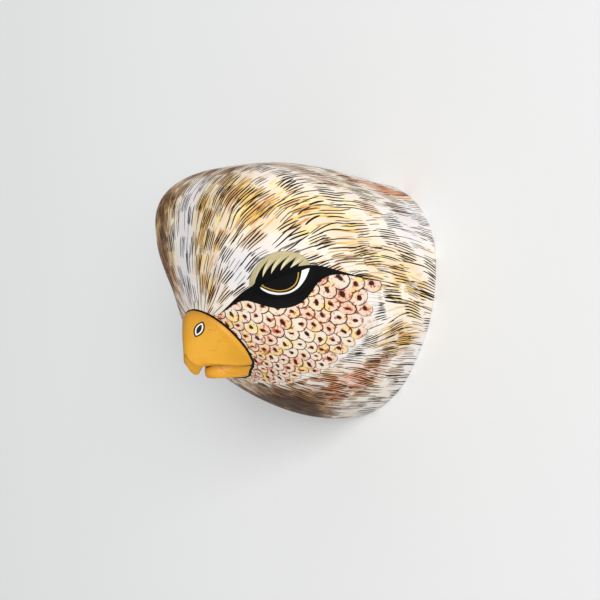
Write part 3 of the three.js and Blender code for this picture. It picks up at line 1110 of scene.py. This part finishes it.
def coloured_strokes(tree, under, zones, earthy, bright):
    """Brown and rust strokes, and over them gold ones, each in their own patches."""
    gold, brown, _, rust = zones
    choice = earthy.own[1] + 0.5 * (earthy.patch[1] - 0.5)
    soil = blend(tree, rising(choice, 0.3, 0.5), TAN, BROWN)
    soil = blend(tree, rising(choice, 0.7, 0.8), soil, DARK_BROWN)
    soil = blend(tree, rising(rust + 0.9 * (earthy.own[0] - 0.5), 0.35, 0.6), soil, RUST)
    much = rising(larger(brown, rust) + 0.35 * gold + 0.6 * (earthy.patch[0] - 0.5), 0.15, 0.6)
    colour = blend(tree, earthy.paint * much * 0.88, under, soil)
    choice = bright.own[1] + 0.5 * (bright.patch[1] - 0.5)
    sunny = blend(tree, rising(choice, 0.3, 0.5), LEMON, GOLD)
    sunny = blend(tree, rising(choice, 0.7, 0.8), sunny, AMBER)
    much = rising(gold + 0.6 * (bright.patch[0] - 0.5), 0.15, 0.7) * falling(brown, 1.0, 2.0)
    return blend(tree, bright.paint * much * 0.75, colour, sunny)


def dark_strokes(tree, under, zones, out, bare, layers):
    """Three layers of near-black strokes: hatching everywhere, long lines, and fine ones
    away from the beak. bare is how far a place is kept free of them."""
    _, brown, grey, rust = zones
    hatch, lines, fine = layers
    dark = blend(tree, hatch.own[1], BLACK, WARM_BLACK)
    dark = blend(tree, rising(grey, 0.2, 1.0) * 0.1, dark, SOFT_BLACK)
    dark = blend(tree, rising(rust + brown, 0.5, 1.6) * 0.5, dark, RUSTY_BLACK)
    inked = (1.0 - 0.8 * bare) * (1.0 - 0.75 * rising(rust, 1.1, 1.5))
    away = rising(out, 25.0, 85.0)
    colour = blend(tree, fine.paint * inked * away * 0.8, under, dark)
    colour = blend(tree, lines.paint * inked * (0.8 + 0.2 * away), colour, dark)
    return blend(tree, hatch.paint * inked, colour, dark)


def paint_face():
    """The painted face: hatched feathers, cheek scales, the black band and the eye."""
    material, tree, shader = start_material("face_paint", FACE_ROUGHNESS, shine=0.12)
    here = object_place(tree)
    turn, out = place_map(tree, "flow")
    sway = wander(tree, here, 16.0, 1.5)
    out = out + STROKE_WANDER * sway[0]
    turn = turn + STROKE_WANDER_TURNS * sway[1]
    flow = (turn, out, number_map(tree, "swing"))
    stored = tree.nodes.new("ShaderNodeAttribute")
    stored.attribute_name = "zones"
    gold, brown, grey = split(tree, stored.outputs["Color"])
    zones = (gold, brown, grey, Number(tree, stored.outputs["Alpha"]))

    crowded = rising(brown, 0.5, 1.5)
    hatch = Strokes(tree, flow, seed=1, strips=56, length=20.0, spacing=2.0, width=0.45,
                    dark=0.92 - 0.2 * rising(grey, 0.3, 1.0), light=crowded * 0.65 + 0.06)
    lines = Strokes(tree, flow, seed=2, strips=34, length=32.0, spacing=2.8, width=0.39,
                    dark=0.52, light=crowded * 0.4 + 0.28)
    fine = Strokes(tree, flow, seed=3, strips=67, length=14.0, spacing=1.7, width=0.34,
                   dark=0.45, light=crowded * 0.4 + 0.02)
    bright = Strokes(tree, flow, seed=4, strips=52, length=18.0, spacing=1.75, width=0.6,
                     dark=0.6, light=0.35, ragged=0.3)
    earthy = Strokes(tree, flow, seed=5, strips=41, length=26.0, spacing=1.9, width=0.62,
                     dark=0.8, light=0.35, ragged=0.3)

    colour = feather_ground(tree, zones, hatch)
    colour = coloured_strokes(tree, colour, zones, earthy, bright)
    cheek = falling(number_map(tree, "band_height"), -0.5, 0.5)
    bare = cheek * falling(number_map(tree, "past_scales") + 0.5 * sway[2], 0.1, 0.5)
    colour = blend(tree, bare * 0.9, colour, PLAIN_CHALK)
    colour = dark_strokes(tree, colour, zones, out, bare, (hatch, lines, fine))
    colour, scale_edge = paint_scales(tree, colour)
    colour, gloss = paint_eye(tree, colour)
    colour = blend(tree, beak_line(tree, here, 1.4, 1.7), colour, INK)
    tree.links.new(colour, shader.inputs["Base Color"])
    connect(tree, FACE_ROUGHNESS - GLOSS * gloss, shader.inputs["Roughness"])
    relief = noise(tree, here, 350.0, 3.0) * 0.4 + hatch.paint * 0.3 + bright.paint * 0.15
    add_bump(tree, shader, relief + scale_edge * 0.3, 0.12)
    return material


def beak_line(tree, here, inner, outer):
    """The line where the beak meets the face, with an edge that wanders a little: full up
    to the inner distance in millimetres and gone at the outer one."""
    edge = number_map(tree, "beak_line") + 0.3 * (noise(tree, here, 160.0) - 0.5)
    return falling(edge, inner, outer)


def scale_disc(tree, column, row_place, row):
    """One scale of a row: whether there is one, how far a place lies outside its
    outline and its dot, in widths, and a random number for its tint. Every second row
    is shifted by half a scale."""
    shift = part_of(row * 0.5)
    spot = column + shift
    cell = floor(spot)
    luck = chance(tree, cell, row, SCALE_SEED)
    across = spot - cell - 0.5 + SCALE_UNEVENNESS * (luck[0] - 0.5)
    down = (row_place - row - 0.5) * SCALE_ROW + SCALE_UNEVENNESS * (luck[2] - 0.5)
    edge = root(across * across * 1.08 + down * down) - SCALE_RADIUS - 0.08 * (luck[1] - 0.5)
    lean = across + 0.1 * (luck[2] - 0.5) + (luck[1] - 0.5) * down
    below = down - DOT_DROP - SCALE_UNEVENNESS * (luck[0] - 0.5)
    from_dot = root(lean * lean * 1.8 + below * below) - DOT_RADIUS - 0.07 * luck[1]
    last = None
    for place, height, slope in SCALE_ENDS:
        line = (cell + 0.5 - shift - place) * slope + height
        last = line if last is None else smaller(last, line)
    there = rising(last - row - 0.5, -0.05, 0.05)
    return there, edge, from_dot, luck[2]


def paint_scales(tree, under):
    """Round scales that overlap like tiles, each with a dark dot, on the cheek. Each
    row's discs lie under those of the row above."""
    column, row_place = place_map(tree, "scales")
    here = object_place(tree)
    warp = wander(tree, here, 55.0, 1.0)
    column = column + SCALE_WARP[0] * warp[0]
    row_place = row_place + SCALE_WARP[1] * warp[1]
    row = floor(row_place)
    covered, line, dot, stained, tint = 0.0, 0.0, 0.0, 0.0, 0.0
    for step in (-1.0, 0.0, 1.0):
        there, edge, from_dot, luck = scale_disc(tree, column, row_place, row + step)
        shown = (1.0 - covered) * there
        disc = falling(edge, -0.02, 0.02) * shown
        line = larger(shown * falling(size_of(edge), 0.026, 0.046), line)
        dot = larger(disc * falling(from_dot, -0.02, 0.03), dot)
        by_edge = falling(size_of(edge), 0.04, 0.18) * 0.4
        stained = larger(disc * larger(falling(from_dot, 0.0, 0.2), by_edge), stained)
        tint = disc * luck + tint
        covered = larger(disc, covered)
    covered = larger(covered, falling(number_map(tree, "past_scales"), -1.1, -0.9))
    skin = blend(tree, rising(tint, 0.1, 0.9), SCALE_CREAM, SCALE_PINK)
    skin = blend(tree, rising(noise(tree, here, 110.0), 0.53, 0.6) * 0.6, skin, SCALE_YELLOW)
    stain = rising(noise(tree, here, 60.0), 0.45, 0.65) * (0.3 + 0.7 * stained)
    skin = blend(tree, stain * 0.55, skin, SCALE_STAIN)
    splash = noise(tree, here, 300.0, 2.5, 0.75) + 0.1 * stained + 0.05 * (tint - 0.5)
    skin = blend(tree, rising(splash, 0.578, 0.622) * 0.85, skin, SCALE_RED)
    skin = blend(tree, line * 0.95, skin, SCALE_LINE)
    skin = blend(tree, dot * 0.97, skin, SCALE_DOT)
    region = covered * falling(number_map(tree, "band_height"), -0.2, 0.2)
    return blend(tree, region, under, skin), line * region


def from_middle(number):
    """Millimetres across the lid from the nearest lash, where number counts them."""
    return size_of(number - nearest(number)) * LASH_SPACING


def paint_eye(tree, under):
    """The lid with its lashes and a painted shade along its edge, the black band, the white, the gold ring
    and the iris.
    """
    lid = number_map(tree, "lid")
    iris = number_map(tree, "iris")
    lid_height = number_map(tree, "lid_height")
    lash_number, lash_share = place_map(tree, "lashes")
    olive = blend(tree, noise(tree, object_place(tree), 120.0, 3.0), OLIVE, PALE_OLIVE)
    colour = blend(tree, rising(lid, -0.25, 0.25), under, olive)
    # Painted shade: darker olive along the crease round the lid
    colour = blend(tree, falling(size_of(lid), 0.1, 0.7) * 0.45, colour, LID_CREASE_SHADE)

    past_last = len(LASHES) - 0.5
    lashed = (rising(lash_number, -0.55, -0.45)
              * falling(lash_number, past_last - 0.05, past_last + 0.05))
    taper = calculate(tree, "POWER", larger(1.12 - lash_share, 0.0), 1.15)
    lash = rising(LASH_WIDTH / 2 * taper - from_middle(lash_number), -0.15, 0.15)
    lash = lash * lashed * rising(lid_height, 0.0, 0.3)
    petal = rising(PETAL_WIDTH / 2 * (1.1 - lash_share) - from_middle(lash_number - PETAL_PLACE), -0.3, 0.3)
    colour = blend(tree, petal * lashed * rising(lid, 1.0, 1.6) * 0.75, colour, PETAL)

    # The band's outer end is drawn by its height, so that it keeps a least width
    from_band = size_of(number_map(tree, "band_height")) - larger(number_map(tree, "band_half"), 0.45)
    outwards, _ = place_map(tree, "sheet")
    tail = falling(from_band, -0.15, 0.2) * rising(outwards, 30.0, 34.0) * falling(outwards, 128.0, 136.0)
    black = larger(larger(rising(number_map(tree, "band"), -0.2, 0.2), tail),
                   lash * rising(lid, 0.3, 0.6))
    colour = blend(tree, black, colour, BAND_BLACK)

    under_lid = 0.0 - lid_height
    opening = rising(under_lid, 0.0, 0.35)
    colour = blend(tree, rising(number_map(tree, "white"), -0.15, 0.2) * opening, colour, EYE_WHITE)
    colour = blend(tree, rising(iris, -0.1, 0.2) * opening, colour, IRIS)
    ring = falling(size_of(iris - 0.4), 0.28, 0.55) * rising(under_lid, 0.3, 0.7)
    colour = blend(tree, ring, colour, EYE_RING)
    return colour, larger(black, rising(iris, 0.0, 0.3))


def nostril(x, y):
    """Millimetres inside a pointed oval on each side of the beak: the overlap of two
    circles."""
    cos, sin = math.cos(math.radians(NOSTRIL_TILT)), math.sin(math.radians(NOSTRIL_TILT))
    across = size_of(x) * (1 / MM) - NOSTRIL_X
    up = y * (1 / MM) - NOSTRIL_Y
    width = size_of(across * cos - up * sin)
    length = up * cos + across * sin
    shift = (NOSTRIL_HALF_LENGTH ** 2 - NOSTRIL_HALF_WIDTH ** 2) / (2 * NOSTRIL_HALF_WIDTH)
    far = width + shift
    return (shift + NOSTRIL_HALF_WIDTH) - root(far * far + length * length)


def paint_beak(name, orange):
    """Ochre beak paint with a black line where it meets the face, ringed nostrils and
    fine cracks. orange is how far the ochre is shifted to orange."""
    material, tree, shader = start_material(name, 0.42, shine=0.3)
    here = object_place(tree)
    x, y = split(tree, here)[:2]
    cloud = noise(tree, here, 38.0, 3.0, 0.55)
    colour = blend(tree, rising(cloud, 0.3, 0.7), OCHRE, PALE_OCHRE)
    colour = blend(tree, rising(y, -35 * MM, -12 * MM) * 0.5, colour, BURNT_OCHRE)
    colour = blend(tree, orange, colour, ORANGE_OCHRE)
    crack = falling(size_of(noise(tree, here, 46.0, 4.0, 0.6) - 0.5), 0.001, 0.004)
    crack = crack * rising(noise(tree, here, 30.0, 0.0), 0.6, 0.66)
    colour = blend(tree, crack * 0.5, colour, CRACK)
    crease = falling(size_of(number_map(tree, "tip_crease")), 0.1, 0.45)
    colour = blend(tree, crease * 0.55, colour, CREASE)
    colour = blend(tree, falling(number_map(tree, "mouth_line"), 0.4, 1.3) * 0.85, colour, MOUTH)
    # A black ring, a white one and the black hole, by the depth inside the nostril
    depth = nostril(x, y)
    for start, end, paint in ((-0.15, 0.15, INK), (1.05, 1.3, NOSTRIL_RING), (2.0, 2.25, INK)):
        colour = blend(tree, rising(depth, start, end), colour, paint)
    colour = blend(tree, beak_line(tree, here, 0.7, 1.0), colour, INK)
    tree.links.new(colour, shader.inputs["Base Color"])
    add_bump(tree, shader, noise(tree, here, 260.0, 4.0) - crack * 0.8, 0.1)
    return material


def bare_wood():
    """Unpainted carved wood inside the mask and on its rim, with its grain up the face."""
    material, tree, shader = start_material("bare_wood", 0.68)
    bands = noise(tree, object_place(tree, GRAIN_BANDS), 1.0, 3.0, 0.6)
    threads = noise(tree, object_place(tree, GRAIN_THREADS), 1.0, 3.0, 0.6)
    colour = blend(tree, rising(bands, 0.3, 0.7), WOOD_BAND, PALE_WOOD)
    colour = blend(tree, rising(threads, 0.5, 0.75) * 0.5, colour, WOOD_THREAD)
    tree.links.new(colour, shader.inputs["Base Color"])
    add_bump(tree, shader, threads * 0.6 + bands * 0.4, 0.25)
    return material


def add_floor():
    """A plain pale floor."""
    corners = [(-1, -1), (1, -1), (1, 1), (-1, 1)]
    mesh = bpy.data.meshes.new("floor")
    mesh.from_pydata([(x * FLOOR_HALF_SIZE, y * FLOOR_HALF_SIZE, 0) for x, y in corners],
                     [], [(0, 1, 2, 3)])
    floor_piece = bpy.data.objects.new("floor", mesh)
    bpy.context.scene.collection.objects.link(floor_piece)
    material, _, shader = start_material("pale_floor", 0.9, shine=0.2)
    shader.inputs["Base Color"].default_value = FLOOR_COLOUR
    mesh.materials.append(material)


def set_up(name, data, axes, place):
    """Puts a camera or lamp at a place in metres, with its right, up and back directions
    as the columns of its matrix."""
    holder = bpy.data.objects.new(name, data)
    matrix = Matrix.Identity(4)
    for column, axis in enumerate((*axes, place)):
        for line in range(3):
            matrix[line][column] = axis[line]
    holder.matrix_world = matrix
    bpy.context.scene.collection.objects.link(holder)
    return holder


def add_camera():
    """The camera, turned to the bird's left and upright in the picture."""
    turn = math.radians(CAMERA_TURN)
    right = np.array([math.cos(turn), 0, -math.sin(turn)])
    up = np.array([0.0, 1.0, 0.0])
    back = np.array([math.sin(turn), 0, math.cos(turn)])
    camera = bpy.data.cameras.new("camera")
    camera.sensor_width = SENSOR
    camera.lens = LENS
    place = (np.array(CAMERA_TARGET) + back * CAMERA_DISTANCE) * MM
    bpy.context.scene.camera = set_up("camera", camera, (right, up, back), place)


def add_studio():
    """A square soft box aimed at the mask, and a pale surround."""
    world = bpy.data.worlds.new("studio")
    bpy.context.scene.world = world
    world.use_nodes = True
    background = world.node_tree.nodes["Background"]
    background.inputs["Color"].default_value = SURROUND_COLOUR
    background.inputs["Strength"].default_value = SURROUND_STRENGTH
    lamp = bpy.data.lights.new("key", "AREA")
    lamp.shape = "SQUARE"
    lamp.size = LAMP_SIZE
    lamp.energy = LAMP_POWER
    back = unit(np.array(LAMP_DIRECTION))
    right = unit(np.cross([0.0, 1.0, 0.001], back))
    up = np.cross(back, right)
    place = np.array(CAMERA_TARGET) * MM + back * LAMP_DISTANCE
    set_up("key", lamp, (right, up, back), place)
    bpy.context.scene.view_settings.view_transform = "Standard"


add_camera()
add_studio()
add_floor()

mask = carve([paint_face(), paint_beak("upper_beak_paint", 0.0), paint_beak("lower_beak_paint", 0.5),
              bare_wood()])
lay_out_paint(mask)
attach(mask, "root")
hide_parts("owl_mask")
